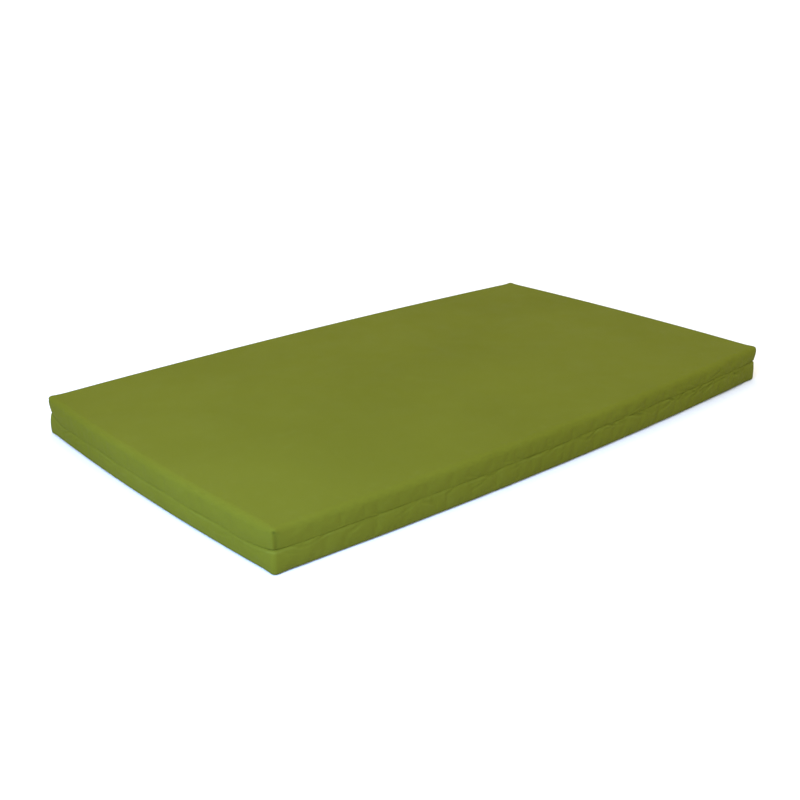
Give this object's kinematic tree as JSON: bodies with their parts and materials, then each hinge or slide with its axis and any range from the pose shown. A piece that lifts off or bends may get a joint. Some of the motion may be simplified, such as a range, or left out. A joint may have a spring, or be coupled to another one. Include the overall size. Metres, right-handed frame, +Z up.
{
  "type": "crash landing mat",
  "caption": "Rectangular foam landing mat in a fabric cover that is seamed round its middle and closed by a long zip along the back.",
  "frame": {"origin": "on the floor, under the middle of the mat", "axes": "+X along the mat's length, +Y towards the long side with the zip, +Z up"},
  "size_m": [1.832, 1.07, 0.107],
  "materials": {
    "cover_fabric": "satin",
    "firm_foam": "matte",
    "soft_foam": "matte",
    "zip_tape": "matte",
    "zip_coil": "satin",
    "zip_metal": "satin",
    "label": "matte"
  },
  "bodies": {
    "mat": {"upper_cover": "cover_fabric", "lower_cover": "cover_fabric", "landing_foam": "firm_foam", "base_foam": "soft_foam", "seam_binding": "zip_tape", "care_label": "label", "zip_tape_upper": "zip_tape", "zip_tape_lower": "zip_tape", "zip_coil_upper": "zip_coil", "zip_coil_lower": "zip_coil", "zip_top_stop_upper": "zip_metal", "zip_top_stop_lower": "zip_metal", "zip_bottom_stop": "zip_metal"},
    "slider": {"zip_slider": "zip_metal"},
    "pull_tab": {"zip_pull_tab": "zip_metal"}
  },
  "joints": [
    {"name": "zip_travel", "type": "hinge", "parent": "mat", "child": "slider", "pos_m": [0, -13.94329, 0.054], "axis": [0, 0, 1], "range_deg": [0, 6.28], "deforming": ["zip_coil_upper", "zip_coil_lower"]},
    {"name": "pull_tab_swing", "type": "hinge", "parent": "slider", "child": "pull_tab", "pos_m": [0.79007, 0.51463, 0.054], "axis": [0, 0, -1], "range_deg": [0, 172]}
  ]
}
